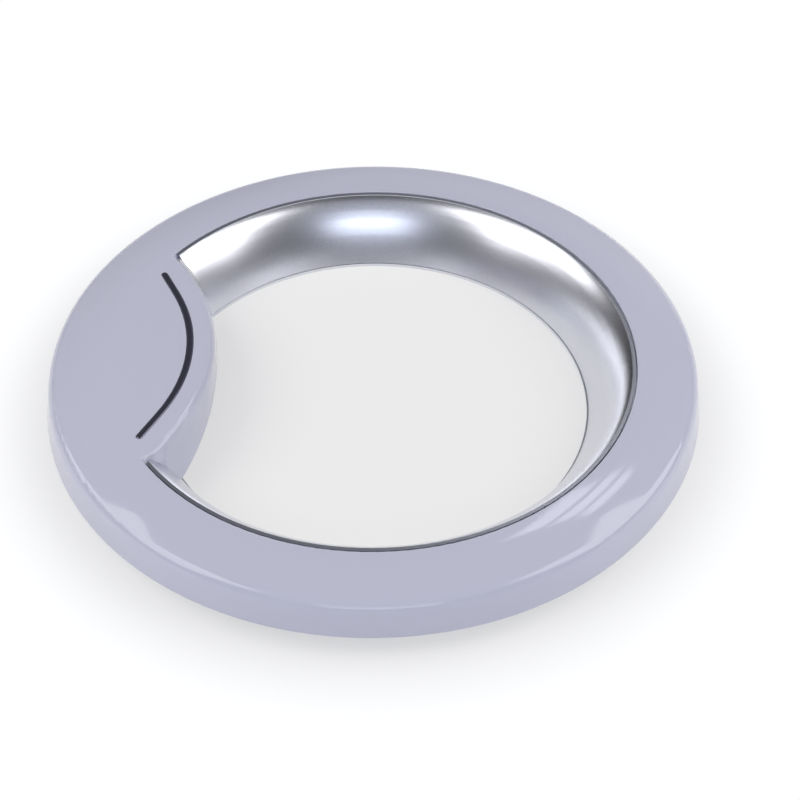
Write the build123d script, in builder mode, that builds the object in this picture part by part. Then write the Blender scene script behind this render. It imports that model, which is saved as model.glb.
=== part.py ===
from build123d import *
from math import atan2, cos, radians, sin, sqrt, tan
import os

# Outer frame of a round front-loader door, lying face up.
# +Z comes out of the door's face, the handle is on -X and the top of the door on +Y.
# The origin is on the ring's axis, level with the foot of the metallic ring, where the part rests.
os.makedirs("parts", exist_ok=True)

# Driving sizes of the white ring
skirt_foot_d = 457.4
face_band = 45.7
face_z = 46.2
skirt_foot_z = 15.6
face_crown_r = 137.0
skirt_flare = 8.6
skirt_round_r = 8.0
shell_wall = 2.8
lip_edge_r = 0.5
foot_chamfer = 0.5
inside_chords = 3

# Driving sizes of the metallic ring
mouth_band = 31.4
rim_groove = 0.8
rim_step = 0.2
trim_wall = 2.4
throat_angle = 73.75
throat_reach = 18.7
shoulder_reach = 8.4
mouth_chords = 5
trim_foot_width = 12.0
flange_gap = 0.35
flange_clearance = 1.0

# Driving sizes of the handle lobe
lobe_overhang = 71.8
lobe_bow_r = 154.0
lobe_bow_angle = 27.0
lobe_foot_z = 17.0
lobe_foot_shift = -0.1
lobe_foot_bow_r = 300.0
lobe_round_r = 4.5
lobe_gap = 0.5
corner_r = 7.0
corner_relief = 2.9
corner_ease_r = 40.0
pocket_wall = 2.4
pocket_reach = 3.0
pocket_shelf_width = 5.7
pocket_shelf = 2.4

# Driving sizes of the strip inlaid in the lobe
strip_inset = 17.1
strip_w = 4.7
strip_half_span = 85.5
strip_gap = 0.15
strip_bed = 1.2
strip_proud = 0.4
strip_edge_r = 1.0
stake_r = 1.2
stake_gap = 0.1
stake_reach = 1.4
stake_pitch = 10.0
stake_count = 5

# Driving sizes of the ribs, bosses and hooks behind the white face
hoop_rib_inset = 14.0
hoop_rib_drop = 10.0
rib_wall = 2.0
rib_count = 16
rib_drop = 9.0
boss_inset = 9.0
boss_count = 8
boss_r = 4.5
boss_end_z = 19.0
pilot_r = 1.6
pilot_depth = 14.0
hook_count = 11
hook_sweep = 250.0
hook_width = 9.0
hook_bite = 3.0
hook_nose = 1.0
hook_gap = 0.15

# Rings, each a step in from the skirt's foot
skirt_foot_r = skirt_foot_d / 2
lip_r = skirt_foot_r - face_band
rim_r = lip_r - rim_groove
opening_r = rim_r - mouth_band
hoop_rib_r = lip_r + hoop_rib_inset
boss_circle_r = hoop_rib_r + boss_inset
trim_flange_r = hoop_rib_r - flange_clearance
pocket_r = lip_r + pocket_reach
pocket_shelf_r = opening_r + pocket_shelf_width
rim_z = face_z - rim_step
far = skirt_foot_d


def run_to_circle(start, heading, r):
    """Point where the line from `start` along `heading` leaves the circle of radius r about the origin."""
    along = start.dot(heading)
    return start + heading * (sqrt(along * along - start.dot(start) + r * r) - along)


# White profile in radius and height: up the flared skirt, round its shoulder and over the crowned face
flare = radians(skirt_flare)
skirt_up = Vector(-sin(flare), cos(flare))
skirt_out = Vector(cos(flare), sin(flare))
skirt_foot = Vector(skirt_foot_r, skirt_foot_z)
crown_centre = Vector(lip_r + lip_edge_r, face_z - face_crown_r)
round_start = skirt_foot - skirt_out * skirt_round_r - crown_centre
round_place = run_to_circle(round_start, skirt_up, face_crown_r - skirt_round_r)
round_centre = crown_centre + round_place
crown_sweep = atan2(round_place.X, round_place.Y)
round_out = skirt_out + round_place.normalized()


def on_crown(share, depth):
    """Point `depth` under the crowned face, a share of the way from the lip to the shoulder."""
    angle = share * crown_sweep
    return crown_centre + Vector(sin(angle), cos(angle)) * (face_crown_r - depth)


def on_shoulder(heading, depth):
    """Point `depth` under the shoulder's rounding, seen from its centre along `heading`."""
    return round_centre + heading.normalized() * (skirt_round_r - depth)


def face_height(r, depth):
    """Height at radius r of the surface that lies `depth` under the crowned face."""
    return crown_centre.Y + sqrt((face_crown_r - depth) ** 2 - (r - crown_centre.X) ** 2)


def under_face(depth):
    """Half section of all that lies `depth` or more inside the face and skirt, in straight stretches."""
    foot_r = skirt_foot_r - depth / cos(flare) + skirt_foot_z * tan(flare)
    with BuildSketch(mode=Mode.PRIVATE) as section:
        with BuildLine():
            Polyline(
                (0, 0),
                (foot_r, 0),
                on_shoulder(skirt_out, depth),
                on_shoulder(round_out, depth),
                *[on_crown(1 - step / inside_chords, depth) for step in range(inside_chords + 1)],
                (0, face_z - depth),
                close=True,
            )
        make_face()
    return section.sketch


# The bell mouth in radius and height: level at its rim, rolled over a shoulder, steep at its foot.
# Its back is moved out by the wall in straight stretches.
throat_drop = radians(throat_angle)
mouth_foot = Vector(opening_r, 0)
mouth_rim = Vector(rim_r, rim_z)
mouth = Bezier(
    mouth_rim,
    mouth_rim - Vector(shoulder_reach, 0),
    mouth_foot + Vector(cos(throat_drop), sin(throat_drop)) * throat_reach,
    mouth_foot,
)
mouth_back = [
    mouth @ (step / mouth_chords) + (mouth % (step / mouth_chords)).rotate(Axis.Z, 90) * trim_wall
    for step in range(mouth_chords + 1)
]

# Heights of what is hung behind the face
flange_z = face_height(trim_flange_r, shell_wall) - flange_gap - trim_wall
hook_z = flange_z - hook_gap
hoop_rib_z = face_height(hoop_rib_r, shell_wall) - hoop_rib_drop
rib_z = face_height(hoop_rib_r, shell_wall) - rib_drop

# Plan of the lobe's edge: a bow, then straight on, then eased back into a corner that turns onto the lip
lobe_tip_x = lobe_overhang - lip_r
lobe_bow_x = lobe_tip_x - lobe_bow_r
lobe_foot_bow_x = lobe_tip_x + lobe_foot_shift - lobe_foot_bow_r
bow_end = radians(lobe_bow_angle)
edge_along = Vector(-sin(bow_end), cos(bow_end))
edge_out = Vector(cos(bow_end), sin(bow_end))
edge_joint = Vector(lobe_bow_x, 0) + edge_out * lobe_bow_r
corner_rise = corner_r - corner_relief
corner_centre = run_to_circle(edge_joint + edge_out * corner_rise, edge_along, lip_r - corner_r)
ease_run = sqrt((corner_ease_r + corner_r) ** 2 - (corner_ease_r + corner_rise) ** 2)
ease_centre = corner_centre - edge_along * ease_run - edge_out * (corner_ease_r + corner_rise)
to_corner = (corner_centre - ease_centre).normalized()
to_lip = corner_centre.normalized()
lobe_half_width = lip_r * to_lip.Y
lobe_back = skirt_foot_r

# Middle line of the inlaid strip: the lobe's edge moved back, with a stake at every few degrees of its arc
strip_bow_r = lobe_bow_r - strip_inset
strip_joint = Vector(lobe_bow_x, 0) + edge_out * strip_bow_r
strip_end_y = strip_half_span - strip_w / 2
strip_end = strip_joint + edge_along * ((strip_end_y - strip_joint.Y) / edge_along.Y)
with BuildLine() as strip_path:
    Line((strip_end.X, -strip_end.Y), (strip_joint.X, -strip_joint.Y))
    ThreePointArc((strip_joint.X, -strip_joint.Y), (lobe_bow_x + strip_bow_r, 0), strip_joint)
    Line(strip_joint, strip_end)
strip_line = strip_path.wires()[0]
stake_places = []
for place in range(stake_count):
    stake_angle = radians((place - (stake_count - 1) / 2) * stake_pitch)
    stake_places.append((lobe_bow_x + strip_bow_r * cos(stake_angle), strip_bow_r * sin(stake_angle)))


def straight_edge(grow):
    """Upper half of the lobe's plan at the face, moved out by `grow`, with its ends kept straight."""
    joint = edge_joint + edge_out * grow
    reach = (lobe_half_width + grow - joint.Y) / edge_along.Y
    return [joint, joint + edge_along * reach]


def relieved_edge(grow):
    """Upper half of the lobe's plan at the face, moved out by `grow`: one line, then two arcs."""
    eased = (edge_out, edge_out + to_corner)
    turned = (-to_corner, to_lip - to_corner, to_lip)
    ease = [ease_centre + heading.normalized() * (corner_ease_r + grow) for heading in eased]
    corner = [corner_centre + heading.normalized() * (corner_r - grow) for heading in turned]
    return [edge_joint + edge_out * grow, *ease, *corner]


def bowed(centre_x, r, y):
    """Point at height y in plan on an arc of radius r about (centre_x, 0)."""
    return (centre_x + sqrt(r * r - y * y), y)


def lobe_block(grow, low_z, high_z, edge):
    """Solid of the handle lobe, moved out by `grow`: its plan turns from `edge` at the face into one
    flatter bow at its foot, and runs back under the face."""
    above = edge(grow)
    below = [Vector(point.X, -point.Y) for point in reversed(above)]
    width = above[-1].Y
    bow = [bowed(lobe_foot_bow_x, lobe_foot_bow_r + grow, y) for y in (-width, 0, width)]
    with BuildPart(mode=Mode.PRIVATE) as block:
        with BuildSketch(Plane.XY.offset(low_z)):
            with BuildLine():
                ThreePointArc(*bow)
                Polyline(bow[-1], (-lobe_back, width), (-lobe_back, -width), bow[0])
            make_face()
        with BuildSketch(Plane.XY.offset(high_z)):
            with BuildLine():
                for first in range(0, len(below) - 2, 2):
                    ThreePointArc(*below[first:first + 3])
                Line(*below[-2:])
                ThreePointArc(below[-1], (lobe_tip_x + grow, 0), above[0])
                Line(*above[:2])
                for first in range(1, len(above) - 1, 2):
                    ThreePointArc(*above[first:first + 3])
                Polyline(above[-1], (-lobe_back, width), (-lobe_back, -width), below[0])
            make_face()
        loft(ruled=True)
    return block.part


# The lobe before it is hollowed: its top edge is rounded, and behind the lip it stays inside the face's wall
with BuildPart() as lobe:
    add(lobe_block(0, lobe_foot_z, face_z, relieved_edge))
    front_edges = lobe.edges().group_by(Axis.Z)[-1].sort_by(Axis.X)[-7:]
    fillet(front_edges, lobe_round_r)
    with BuildSketch(Plane.XZ):
        with BuildLine():
            Polyline(
                (0, lobe_foot_z),
                (pocket_r + pocket_wall, lobe_foot_z),
                (pocket_r + pocket_wall, face_z - shell_wall / 2),
                (crown_centre.X, face_z - shell_wall / 2),
                (crown_centre.X, face_z),
                (0, face_z),
                close=True,
            )
        make_face()
    revolve(axis=Axis.Z, mode=Mode.INTERSECT)

# The room behind the lobe's wall, where fingers reach in from the opening over a short shelf
with BuildPart() as pocket:
    add(lobe_block(-shell_wall, lobe_foot_z, face_z, relieved_edge))
    with BuildSketch(Plane.XZ):
        with BuildLine():
            Polyline(
                (0, lobe_foot_z),
                (pocket_shelf_r, lobe_foot_z),
                (pocket_shelf_r, lobe_foot_z + pocket_shelf),
                (pocket_r, lobe_foot_z + pocket_shelf),
                (pocket_r, face_z - shell_wall),
                (0, face_z - shell_wall),
                close=True,
            )
        make_face()
    revolve(axis=Axis.Z, mode=Mode.INTERSECT)
    Box(far, 2 * (lobe_half_width - shell_wall), far, mode=Mode.INTERSECT)

# Stiffening moulded behind the face: a hoop rib, radial ribs, screw bosses and snap hooks
with BuildPart() as backing:
    with BuildSketch(Plane.XZ):
        with Locations((hoop_rib_r, hoop_rib_z)):
            Rectangle(rib_wall, face_z - hoop_rib_z, align=Align.MIN)
    revolve(axis=Axis.Z)
    with BuildSketch(Plane.XY.offset(rib_z)):
        with PolarLocations((hoop_rib_r + skirt_foot_r) / 2, rib_count):
            Rectangle(skirt_foot_r - hoop_rib_r - rib_wall, rib_wall)
    extrude(amount=face_z - rib_z)
    with BuildSketch(Plane.XY.offset(boss_end_z)):
        with PolarLocations(boss_circle_r, boss_count):
            Circle(boss_r)
    extrude(amount=face_z - boss_end_z)
    with PolarLocations(0, hook_count, start_angle=-hook_sweep / 2, angular_range=hook_sweep, endpoint=True):
        with BuildSketch(Plane.XZ):
            with BuildLine():
                Polyline(
                    (hoop_rib_r + rib_wall / 2, hook_z),
                    (hoop_rib_r - hook_bite, hook_z),
                    (hoop_rib_r - hook_bite, hook_z - hook_nose),
                    (hoop_rib_r + rib_wall / 2, hook_z - hook_nose - hook_bite),
                    close=True,
                )
            make_face()
        extrude(amount=hook_width / 2, both=True)
    with BuildSketch(Plane.XZ):
        add(under_face(shell_wall / 2))
    revolve(axis=Axis.Z, mode=Mode.INTERSECT)

with BuildPart() as outer_ring:
    # The crowned face and flared skirt are one even wall turned about the axis
    with BuildSketch(Plane.XZ):
        with BuildLine():
            Polyline(
                (lip_r, face_z - lip_edge_r),
                (lip_r, skirt_foot_z),
                skirt_foot - Vector(foot_chamfer, 0),
                skirt_foot + skirt_up * foot_chamfer,
                on_shoulder(skirt_out, 0),
            )
            ThreePointArc(on_shoulder(skirt_out, 0), on_shoulder(round_out, 0), on_crown(1, 0))
            ThreePointArc(on_crown(1, 0), on_crown(0.5, 0), on_crown(0, 0))
            TangentArc(on_crown(0, 0), (lip_r, face_z - lip_edge_r), tangent=(-1, 0))
        make_face()
        add(under_face(shell_wall), mode=Mode.SUBTRACT)
    revolve(axis=Axis.Z)
    add(lobe.part)
    add(backing.part)
    add(pocket.part, mode=Mode.SUBTRACT)
    # Blind pilot holes for thread-forming screws
    with Locations((0, 0, boss_end_z)):
        with PolarLocations(boss_circle_r, boss_count):
            Cylinder(pilot_r, pilot_depth, align=(Align.CENTER, Align.CENTER, Align.MIN), mode=Mode.SUBTRACT)
    # The strip's slot leaves a bed of the face's wall, with a hole for each stake
    with BuildSketch(Plane.XY.offset(face_z)):
        SlotArc(strip_line, strip_w + 2 * strip_gap)
    extrude(amount=strip_bed - shell_wall, mode=Mode.SUBTRACT)
    with BuildSketch(Plane.XY.offset(face_z)):
        with Locations(*stake_places):
            Circle(stake_r + stake_gap)
    extrude(amount=-2 * shell_wall, mode=Mode.SUBTRACT)

with BuildPart() as inner_ring:
    with BuildSketch(Plane.XZ):
        with BuildLine():
            add(mouth)
            Polyline(mouth_foot, *reversed(mouth_back), mouth_rim)
        make_face()
        # The flange that lies behind the white face, an upstand that joins it to the rim, and the foot
        with Locations((rim_r - trim_wall, flange_z)):
            Rectangle(trim_flange_r - rim_r + trim_wall, trim_wall, align=Align.MIN)
            Rectangle(trim_wall, rim_z - flange_z, align=Align.MIN)
        with Locations((opening_r, 0)):
            Rectangle(trim_foot_width, trim_wall, align=Align.MIN)
        with Locations((0, -far)):
            Rectangle(far, far, align=Align.MIN, mode=Mode.SUBTRACT)
    revolve(axis=Axis.Z)
    # The ring is cut back around the lobe, and only its lower band runs on beneath it
    add(lobe_block(lobe_gap, lobe_foot_z - lobe_gap, face_z + lobe_gap, straight_edge), mode=Mode.SUBTRACT)
    # Its flange and upstand also clear the lobe's turned corners, by half the gap outwards and a gap sideways
    corner_room = lobe_block(lobe_gap / 2, lobe_foot_z - lobe_gap, face_z + lobe_gap, relieved_edge)
    add(Pos(0, lobe_gap, 0) * corner_room, mode=Mode.SUBTRACT)
    add(Pos(0, -lobe_gap, 0) * corner_room, mode=Mode.SUBTRACT)

with BuildPart() as handle_strip:
    with BuildSketch(Plane.XY.offset(face_z - shell_wall + strip_bed)):
        SlotArc(strip_line, strip_w)
    extrude(amount=shell_wall - strip_bed + strip_proud)
    fillet(handle_strip.faces().sort_by(Axis.Z)[-1].edges(), strip_edge_r)
    with BuildSketch(Plane.XY.offset(face_z - shell_wall + strip_bed)):
        with Locations(*stake_places):
            Circle(stake_r)
    extrude(amount=-strip_bed - stake_reach)

outer_ring.part.label = "outer_ring"
inner_ring.part.label = "inner_ring"
handle_strip.part.label = "handle_strip"
export_step(outer_ring.part, "parts/outer_ring.step")
export_step(inner_ring.part, "parts/inner_ring.step")
export_step(handle_strip.part, "parts/handle_strip.step")
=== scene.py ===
from math import cos, pi, radians, sin

import bpy
from mathutils import Matrix, Vector


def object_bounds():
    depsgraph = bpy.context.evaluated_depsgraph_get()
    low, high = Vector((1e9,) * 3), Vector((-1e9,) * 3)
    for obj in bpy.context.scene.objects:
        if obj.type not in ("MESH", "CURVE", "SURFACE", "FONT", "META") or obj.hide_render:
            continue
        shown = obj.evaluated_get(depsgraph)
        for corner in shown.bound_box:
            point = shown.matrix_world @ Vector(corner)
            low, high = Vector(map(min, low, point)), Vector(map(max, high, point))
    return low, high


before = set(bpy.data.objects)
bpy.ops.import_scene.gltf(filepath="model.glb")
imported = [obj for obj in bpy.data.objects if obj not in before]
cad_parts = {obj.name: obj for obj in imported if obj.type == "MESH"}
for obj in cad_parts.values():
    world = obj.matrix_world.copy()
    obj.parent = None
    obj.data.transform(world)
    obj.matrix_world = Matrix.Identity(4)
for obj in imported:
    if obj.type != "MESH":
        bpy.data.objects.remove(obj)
cad_low, cad_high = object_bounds()

# The floor that the ring lies on: a smooth pale disc that keeps the ring's soft shadow. The camera and
# gloss see it washed out towards white by a glow, in part inside the ring and wholly from a little way past
# the skirt. The glow is weaker near the axis, which paints a light grey shade on the floor inside the ring.
# Each pair below is a value near the axis and one far from it.
FLOOR_RADIUS = 0.75
FLOOR_SIDES = 96
FLOOR_COLOUR = (0.94, 0.925, 0.90, 1.0)
WASH_COLOUR = (0.98, 0.985, 1.0, 1.0)
WASH_RADII = (0.20, 0.29)
WASH_SHARES = (0.62, 1.0)
WASH_STRENGTHS = (0.87, 1.03)


def worked_out(nodes, links, operation, *values):
    """Result of one step of arithmetic on sockets or plain numbers."""
    step = nodes.new("ShaderNodeMath")
    step.operation = operation
    for socket, value in zip(step.inputs, values):
        if isinstance(value, float):
            socket.default_value = value
        else:
            links.new(value, socket)
    return step.outputs[0]


def faded(nodes, links, value, start, end, at_start=0.0, at_end=1.0):
    """Smooth fade on a socket: `at_start` up to the value `start`, and `at_end` from `end` on."""
    fade = nodes.new("ShaderNodeMapRange")
    fade.interpolation_type = "SMOOTHSTEP"
    fade.inputs["From Min"].default_value = start
    fade.inputs["From Max"].default_value = end
    fade.inputs["To Min"].default_value = at_start
    fade.inputs["To Max"].default_value = at_end
    links.new(value, fade.inputs["Value"])
    return fade.outputs["Result"]


def background_rays(nodes, links):
    """1 for a ray from the camera, off a glossy surface or through glass: each shows the background."""
    path = nodes.new("ShaderNodeLightPath")
    shown = path.outputs["Is Camera Ray"]
    for kind in ("Is Glossy Ray", "Is Transmission Ray"):
        shown = worked_out(nodes, links, "MAXIMUM", shown, path.outputs[kind])
    return shown


bpy.ops.mesh.primitive_circle_add(
    vertices=FLOOR_SIDES,
    radius=FLOOR_RADIUS,
    fill_type="NGON",
    location=(0, 0, cad_low.z),
)
floor = bpy.context.object
floor.name = "floor"
floor_paint = bpy.data.materials.new("pale_floor")
floor_paint.use_nodes = True
nodes, links = floor_paint.node_tree.nodes, floor_paint.node_tree.links
nodes.clear()
place = nodes.new("ShaderNodeTexCoord")
reach = nodes.new("ShaderNodeVectorMath")
reach.operation = "LENGTH"
matt = nodes.new("ShaderNodeBsdfDiffuse")
matt.inputs["Color"].default_value = FLOOR_COLOUR
wash = nodes.new("ShaderNodeEmission")
wash.inputs["Color"].default_value = WASH_COLOUR
washed = nodes.new("ShaderNodeMixShader")
out = nodes.new("ShaderNodeOutputMaterial")
links.new(place.outputs["Object"], reach.inputs[0])
# The glow's strength is lower near the axis: painted shade on the floor inside the ring.
strength = faded(nodes, links, reach.outputs["Value"], *WASH_RADII, *WASH_STRENGTHS)
share = faded(nodes, links, reach.outputs["Value"], *WASH_RADII, *WASH_SHARES)
shown_share = worked_out(nodes, links, "MULTIPLY", background_rays(nodes, links), share)
links.new(strength, wash.inputs["Strength"])
links.new(shown_share, washed.inputs["Fac"])
links.new(matt.outputs[0], washed.inputs[1])
links.new(wash.outputs[0], washed.inputs[2])
links.new(washed.outputs[0], out.inputs["Surface"])
floor.data.materials.append(floor_paint)

# The outer ring: one moulding in glossy white plastic, as it leaves the polished mould. Its colour has a
# faint lavender cast, which paints in the bluish light that falls on it. Its sheen ripples very slightly,
# and its gloss wanders a little from place to place.
WHITE = (0.58, 0.585, 0.70, 1.0)
WHITE_ROUGHNESS = (0.05, 0.085)
RIPPLE_SCALE = 45.0
RIPPLE_STRENGTH = 0.12
RIPPLE_DEPTH = 0.00006
GRAIN_DETAIL = 3.0
GRAIN_LOW, GRAIN_HIGH = 0.3, 0.7


def surface_grain():
    """Node group: a fine grain on a piece's own coordinates, as a mask and as a bumped normal.
    Its scale is in grains per metre and its depth in metres."""
    group = bpy.data.node_groups.new("surface_grain", "ShaderNodeTree")
    for name in ("Scale", "Strength", "Depth"):
        group.interface.new_socket(name, in_out="INPUT", socket_type="NodeSocketFloat")
    group.interface.new_socket("Mask", in_out="OUTPUT", socket_type="NodeSocketFloat")
    group.interface.new_socket("Normal", in_out="OUTPUT", socket_type="NodeSocketVector")
    nodes, links = group.nodes, group.links
    given, made = nodes.new("NodeGroupInput"), nodes.new("NodeGroupOutput")
    place = nodes.new("ShaderNodeTexCoord")
    noise = nodes.new("ShaderNodeTexNoise")
    noise.inputs["Detail"].default_value = GRAIN_DETAIL
    bump = nodes.new("ShaderNodeBump")
    links.new(place.outputs["Object"], noise.inputs["Vector"])
    links.new(given.outputs["Scale"], noise.inputs["Scale"])
    links.new(noise.outputs["Fac"], bump.inputs["Height"])
    links.new(given.outputs["Strength"], bump.inputs["Strength"])
    links.new(given.outputs["Depth"], bump.inputs["Distance"])
    links.new(noise.outputs["Fac"], made.inputs["Mask"])
    links.new(bump.outputs["Normal"], made.inputs["Normal"])
    return group


grain = surface_grain()


def new_finish(name, colour):
    """A plain material of one colour, with its nodes, its links and its shader."""
    finish = bpy.data.materials.new(name)
    finish.use_nodes = True
    nodes, links = finish.node_tree.nodes, finish.node_tree.links
    shader = nodes["Principled BSDF"]
    shader.inputs["Base Color"].default_value = colour
    return finish, nodes, links, shader


def grained(nodes, links, shader, scale, strength, depth, smooth, rough):
    """The finish gets the fine grain as a bump, and a roughness that wanders between two values with it."""
    fine = nodes.new("ShaderNodeGroup")
    fine.node_tree = grain
    fine.inputs["Scale"].default_value = scale
    fine.inputs["Strength"].default_value = strength
    fine.inputs["Depth"].default_value = depth
    spread = nodes.new("ShaderNodeMapRange")
    spread.inputs["From Min"].default_value = GRAIN_LOW
    spread.inputs["From Max"].default_value = GRAIN_HIGH
    spread.inputs["To Min"].default_value = smooth
    spread.inputs["To Max"].default_value = rough
    links.new(fine.outputs["Mask"], spread.inputs["Value"])
    links.new(spread.outputs["Result"], shader.inputs["Roughness"])
    links.new(fine.outputs["Normal"], shader.inputs["Normal"])


def dress(node_name, finish):
    """The modelled piece keeps its mesh and gets this finish."""
    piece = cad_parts[node_name]
    piece.data.materials.clear()
    piece.data.materials.append(finish)


white, nodes, links, shader = new_finish("glossy_white_plastic", WHITE)
grained(nodes, links, shader, RIPPLE_SCALE, RIPPLE_STRENGTH, RIPPLE_DEPTH, *WHITE_ROUGHNESS)
dress("outer_ring", white)

# The inner ring: one plastic moulding with a satin metallic coat, whose fine even flake spreads
# reflections softly. Snap hooks hold its flange behind the white ring.
METALLIC = (0.745, 0.755, 0.81, 1.0)
METALLIC_ROUGHNESS = (0.26, 0.31)
FLAKE_SCALE = 3500.0
FLAKE_STRENGTH = 0.07
FLAKE_DEPTH = 0.000004

satin, nodes, links, shader = new_finish("satin_metallic_coat", METALLIC)
shader.inputs["Metallic"].default_value = 1.0
grained(nodes, links, shader, FLAKE_SCALE, FLAKE_STRENGTH, FLAKE_DEPTH, *METALLIC_ROUGHNESS)
dress("inner_ring", satin)

# The strip inlaid along the handle: a narrow plastic moulding with a dark metallic coat, rougher than the
# ring's. It is pressed into its slot and held by stakes.
DARK_METALLIC = (0.18, 0.18, 0.235, 1.0)
DARK_ROUGHNESS = (0.3, 0.4)
DARK_GRAIN_SCALE = 3500.0
DARK_GRAIN_STRENGTH = 0.1
DARK_GRAIN_DEPTH = 0.000004

dark, nodes, links, shader = new_finish("dark_metallic_coat", DARK_METALLIC)
shader.inputs["Metallic"].default_value = 1.0
grained(nodes, links, shader, DARK_GRAIN_SCALE, DARK_GRAIN_STRENGTH, DARK_GRAIN_DEPTH, *DARK_ROUGHNESS)
dress("handle_strip", dark)

# The lamps: a broad soft lamp on the left and on the right, a bluish window behind the camera, and a far
# window of three panes, high at the far right.
SOFT_WHITE = (1.0, 0.99, 0.98)
WINDOW_BLUE = (0.80, 0.87, 1.0)
FAR_BLUE = (0.9, 0.93, 1.0)
SOFT_DISTANCE = 1.5
WINDOW_DISTANCE = 2.2
FAR_DISTANCE = 2.6
PANE_AZIMUTHS = (148, 156, 164)
PANE_SIZE = (0.15, 0.30)


def lamp(name, azimuth, elevation, distance, size, radiance, colour):
    """A flat lamp that faces the ring, whose power follows from its radiance and its size in metres.
    Its azimuth is 0 degrees behind the camera and grows towards +X."""
    width, height = size
    light = bpy.data.lights.new(name, "AREA")
    light.shape = "RECTANGLE"
    light.size, light.size_y = width, height
    light.energy = radiance * pi * width * height
    light.color = colour
    holder = bpy.data.objects.new(name, light)
    turn, rise = radians(azimuth), radians(elevation)
    away = Vector((sin(turn) * cos(rise), -cos(turn) * cos(rise), sin(rise)))
    holder.location = away * distance
    holder.rotation_mode = "QUATERNION"
    holder.rotation_quaternion = away.to_track_quat("Z", "Y")
    bpy.context.scene.collection.objects.link(holder)


lamp("left_soft_lamp", azimuth=-83, elevation=46, distance=SOFT_DISTANCE,
     size=(1.35, 1.0), radiance=2.9, colour=SOFT_WHITE)
lamp("right_soft_lamp", azimuth=92, elevation=44, distance=SOFT_DISTANCE,
     size=(1.2, 1.1), radiance=2.95, colour=SOFT_WHITE)
lamp("window_behind", azimuth=3, elevation=32, distance=WINDOW_DISTANCE,
     size=(1.25, 0.45), radiance=2.9, colour=WINDOW_BLUE)
for pane_azimuth in PANE_AZIMUTHS:
    lamp("far_window_%d" % pane_azimuth, azimuth=pane_azimuth, elevation=54, distance=FAR_DISTANCE,
         size=PANE_SIZE, radiance=4.2, colour=FAR_BLUE)

# The room round the ring is dim overhead, bright along the floor in front and at the far side, and dark to
# the left and right, most of all at the far left. A soft glow hangs behind the camera and another at the
# far side. Past the floor the camera sees white paper, and so do gloss and glass, up to a low height.
# Each height is the sine of an elevation, with the room's brightness there. A patch of sky is full within
# the first of its edges and gone outside the second, both cosines of the angle from its heading.
HEIGHTS = ((0.0, 1.7), (0.09, 1.6), (0.15, 0.07), (0.5, 0.10), (1.0, 0.16))
ROOM_TINT = (0.96, 0.98, 1.1)
SIDE_COLOUR = (0.06, 0.06, 0.07, 1.0)
SIDE_FACING, FRONT_FACING = 0.3, 0.8
DARK_HEADING, DARK_EDGES = (-0.64, 0.75, 0.15), (0.95, 0.75)
DARK_SHARE = 0.8
BLACK = (0.0, 0.0, 0.0, 1.0)
GLOW_HEADING, GLOW_EDGES = (0.0, -0.77, 0.64), (0.96, 0.86)
GLOW_COLOUR = (0.26, 0.27, 0.31, 1.0)
FAR_HEADING, FAR_EDGES = (0.19, 0.94, 0.27), (0.98, 0.92)
FAR_COLOUR = (0.36, 0.36, 0.39, 1.0)
PAPER_COLOUR = (1.0, 1.0, 1.0, 1.0)
PAPER_FOOT, PAPER_TOP = 0.08, 0.14
FIRST_COLOUR, SECOND_COLOUR, MIXED_COLOUR = 6, 7, 2

world = bpy.data.worlds.new("dim_room")
bpy.context.scene.world = world
world.use_nodes = True
nodes, links = world.node_tree.nodes, world.node_tree.links
nodes.clear()
place = nodes.new("ShaderNodeTexCoord")
heading = place.outputs["Generated"]
split = nodes.new("ShaderNodeSeparateXYZ")
links.new(heading, split.inputs[0])


def patch_of_sky(centre, full, gone):
    """Share of a soft round patch of the sky about the heading `centre`."""
    facing = nodes.new("ShaderNodeVectorMath")
    facing.operation = "DOT_PRODUCT"
    facing.inputs[1].default_value = centre
    links.new(heading, facing.inputs[0])
    return faded(nodes, links, facing.outputs["Value"], gone, full)


def laid_over(blend, share, under, over):
    """One colour laid over another by a share, each a socket or a plain colour. The node has sockets of
    the same name for other kinds of value, so those for colours are taken by number."""
    mix = nodes.new("ShaderNodeMix")
    mix.data_type = "RGBA"
    mix.blend_type = blend
    links.new(share, mix.inputs["Factor"])
    for number, colour in ((FIRST_COLOUR, under), (SECOND_COLOUR, over)):
        if isinstance(colour, tuple):
            mix.inputs[number].default_value = colour
        else:
            links.new(colour, mix.inputs[number])
    return mix.outputs[MIXED_COLOUR]


ramp = nodes.new("ShaderNodeValToRGB")
for height, _ in HEIGHTS[1:-1]:
    ramp.color_ramp.elements.new(height)
for stop, (height, level) in zip(ramp.color_ramp.elements, HEIGHTS):
    stop.color = (*[level * tint for tint in ROOM_TINT], 1.0)
links.new(split.outputs["Z"], ramp.inputs["Fac"])

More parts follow.
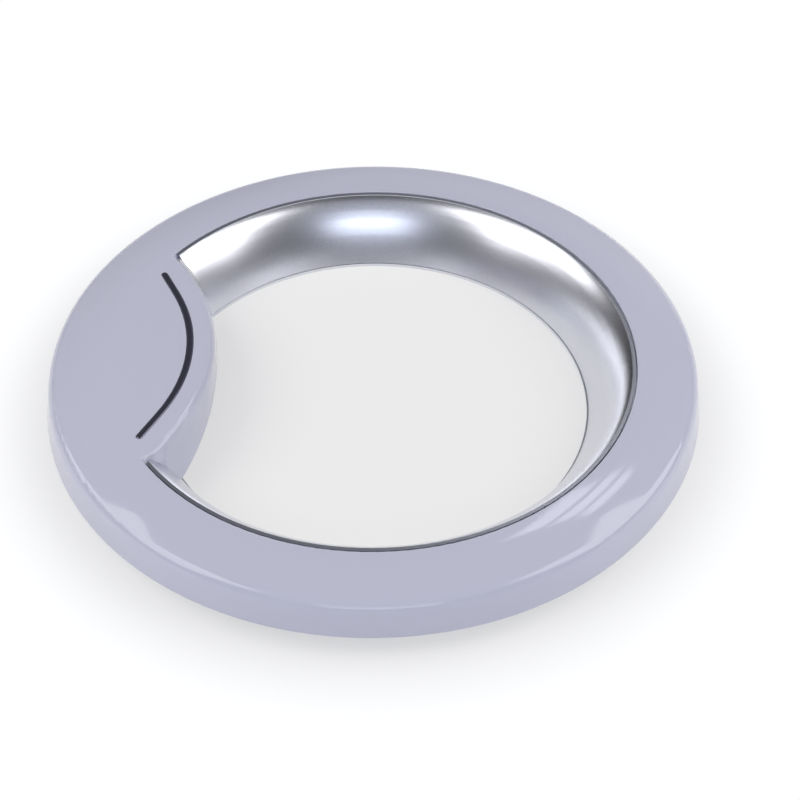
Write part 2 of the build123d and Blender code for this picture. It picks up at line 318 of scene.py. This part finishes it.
depth = worked_out(nodes, links, "ABSOLUTE", split.outputs["Y"])
front_share = faded(nodes, links, depth, SIDE_FACING, FRONT_FACING)
lit = laid_over("MIX", front_share, SIDE_COLOUR, ramp.outputs["Color"])
dark_share = worked_out(nodes, links, "MULTIPLY", patch_of_sky(DARK_HEADING, *DARK_EDGES), DARK_SHARE)
lit = laid_over("MULTIPLY", dark_share, lit, BLACK)
lit = laid_over("ADD", patch_of_sky(GLOW_HEADING, *GLOW_EDGES), lit, GLOW_COLOUR)
lit = laid_over("ADD", patch_of_sky(FAR_HEADING, *FAR_EDGES), lit, FAR_COLOUR)

room = nodes.new("ShaderNodeBackground")
paper = nodes.new("ShaderNodeBackground")
paper.inputs["Color"].default_value = PAPER_COLOUR
seen = nodes.new("ShaderNodeLightPath")
choose = nodes.new("ShaderNodeMixShader")
out = nodes.new("ShaderNodeOutputWorld")
low_share = faded(nodes, links, split.outputs["Z"], PAPER_FOOT, PAPER_TOP, 1.0, 0.0)
mirrored = worked_out(nodes, links, "MULTIPLY", background_rays(nodes, links), low_share)
paper_share = worked_out(nodes, links, "MAXIMUM", mirrored, seen.outputs["Is Camera Ray"])
links.new(lit, room.inputs["Color"])
links.new(paper_share, choose.inputs["Fac"])
links.new(room.outputs[0], choose.inputs[1])
links.new(paper.outputs[0], choose.inputs[2])
links.new(choose.outputs[0], out.inputs["Surface"])
bpy.context.scene.view_settings.view_transform = "Standard"

# The camera stands in front of the ring, a little to the right of its axis, and looks down at it.
# Its place is in metres, its pan and dip are in degrees and its roll is in radians.
CAMERA_PLACE = (0.0389, -1.0633, 1.0262)
CAMERA_PAN = 1.1
CAMERA_DIP = 43.88
CAMERA_ROLL = 0.0016
CAMERA_FOCAL_PX = 2079.9
PICTURE_PX = 800
SENSOR_WIDTH = 36.0

eye = bpy.data.cameras.new("camera")
eye.sensor_fit = "HORIZONTAL"
eye.sensor_width = SENSOR_WIDTH
eye.lens = CAMERA_FOCAL_PX / PICTURE_PX * SENSOR_WIDTH
camera = bpy.data.objects.new("camera", eye)
pan, dip = radians(CAMERA_PAN), radians(CAMERA_DIP)
ahead = Vector((-sin(pan) * cos(dip), cos(pan) * cos(dip), -sin(dip)))
right = Vector((cos(pan), sin(pan), 0))
up = right.cross(ahead)
camera.matrix_world = (
    Matrix.Translation(CAMERA_PLACE)
    @ Matrix((right, up, -ahead)).transposed().to_4x4()
    @ Matrix.Rotation(CAMERA_ROLL, 4, "Z")
)
bpy.context.scene.collection.objects.link(camera)
bpy.context.scene.camera = camera
